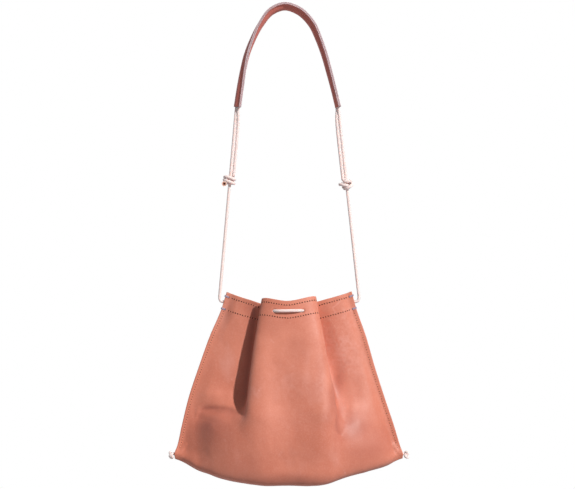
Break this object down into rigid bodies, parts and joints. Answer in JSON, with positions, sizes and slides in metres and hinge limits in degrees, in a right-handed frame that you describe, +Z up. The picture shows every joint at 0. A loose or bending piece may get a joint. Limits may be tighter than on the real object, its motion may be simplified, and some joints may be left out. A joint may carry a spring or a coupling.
{
  "type": "bucket bag",
  "caption": "Soft leather drawstring bucket bag hung from a rolled leather shoulder strap on two knotted cords.",
  "frame": {"origin": "hanging point, at the underside of the top of the strap's leather sleeve", "axes": "+Z up from the bag to the hanging point, +X across the bag to its right side seen from the front, -Y out of the bag's front face"},
  "size_m": [0.3864, 0.1364, 0.7702],
  "materials": {
    "body_leather": "smooth vegetable-tanned leather, soft satin, lightly scuffed",
    "lining_leather": "thin leather facing, suede side out",
    "strap_leather": "smooth leather strip with pale cut edges",
    "cord": "round woven cotton cord, matt",
    "thread": "waxed sewing thread",
    "tack_thread": "waxed grey thread, doubled"
  },
  "bodies": {
    "strap": {"strap_sleeve": "strap_leather", "left_strap_cord": "cord", "right_strap_cord": "cord", "left_return_strand": "cord", "right_return_strand": "cord"},
    "bag": {"hide": "body_leather", "front_channel_facing": "lining_leather", "back_channel_facing": "lining_leather", "front_drawstring": "cord", "back_drawstring": "cord", "left_stop_knot": "cord", "right_stop_knot": "cord", "front_upper_channel_stitches": "thread", "back_upper_channel_stitches": "thread", "front_lower_channel_stitches": "thread", "back_lower_channel_stitches": "thread", "left_seam_stitches": "thread", "right_seam_stitches": "thread", "left_corner_tacks": "tack_thread", "right_corner_tacks": "tack_thread"},
    "left_knot": {"left_sliding_knot": "cord", "left_knot_tail": "cord"},
    "right_knot": {"right_sliding_knot": "cord", "right_knot_tail": "cord"}
  },
  "joints": [
    {"name": "bag_swing", "type": "hinge", "parent": "strap", "child": "bag", "pos_m": [0.008, 0, -0.4635], "axis": [1, 0, 0], "range_deg": [-100, 100]},
    {"name": "left_knot_slide", "type": "slide", "parent": "strap", "child": "left_knot", "axis": [0.0885, 0, 0.9961], "range_m": [0, 0.08], "deforming": ["left_return_strand"]},
    {"name": "right_knot_slide", "type": "slide", "parent": "strap", "child": "right_knot", "axis": [-0.1088, 0, 0.9941], "range_m": [0, 0.08], "deforming": ["right_return_strand"]}
  ]
}
